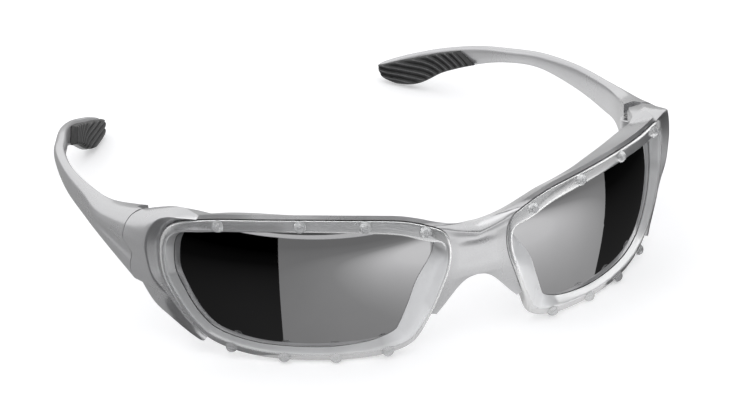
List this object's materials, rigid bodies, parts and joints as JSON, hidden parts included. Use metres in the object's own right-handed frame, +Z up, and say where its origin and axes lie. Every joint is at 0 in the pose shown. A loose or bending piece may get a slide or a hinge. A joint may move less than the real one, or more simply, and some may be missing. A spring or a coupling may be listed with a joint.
{
  "type": "wraparound sport sunglasses",
  "caption": "Wraparound sunglasses: one curved front with a moulded nose bridge, clear studded rims, dark mirror lenses and temples that fold on screw hinges.",
  "frame": {"origin": "middle of the base plane: the surface that the glasses rest on, under the middle of their outline", "axes": "+X to the wearer's left, -Y out of the front of the lenses, +Z up; the glasses stand on the rims' lower edges and the temples' ends"},
  "size_m": [0.1492, 0.152, 0.0395],
  "materials": {
    "silver_front": "satin silver coating",
    "silver_temples": "satin silver coating",
    "clear_rims": "clear, smooth",
    "clear_studs": "clear, polished domes",
    "mirror_lenses": "dark neutral mirror",
    "pad_rubber": "matt, ribbed",
    "screw_steel": "plain"
  },
  "bodies": {
    "front": {"front_frame": "silver_front", "rim_right": "clear_rims", "rim_left": "clear_rims", "rim_studs_right": "clear_studs", "rim_studs_left": "clear_studs", "lens_right": "mirror_lenses", "lens_left": "mirror_lenses", "hinge_screw_right": "screw_steel", "hinge_screw_left": "screw_steel"},
    "temple_left_body": {"temple_left": "silver_temples", "temple_pad_left": "pad_rubber"},
    "temple_right_body": {"temple_right": "silver_temples", "temple_pad_right": "pad_rubber"}
  },
  "joints": [
    {"name": "fold_left", "type": "hinge", "parent": "front", "child": "temple_left_body", "pos_m": [0.0644, -0.03275, 0.02324], "axis": [0, 0.1132, 0.9936], "range_deg": [0, 84]},
    {"name": "fold_right", "type": "hinge", "parent": "front", "child": "temple_right_body", "pos_m": [-0.0644, -0.03275, 0.02324], "axis": [0, -0.1132, -0.9936], "range_deg": [0, 68]}
  ]
}
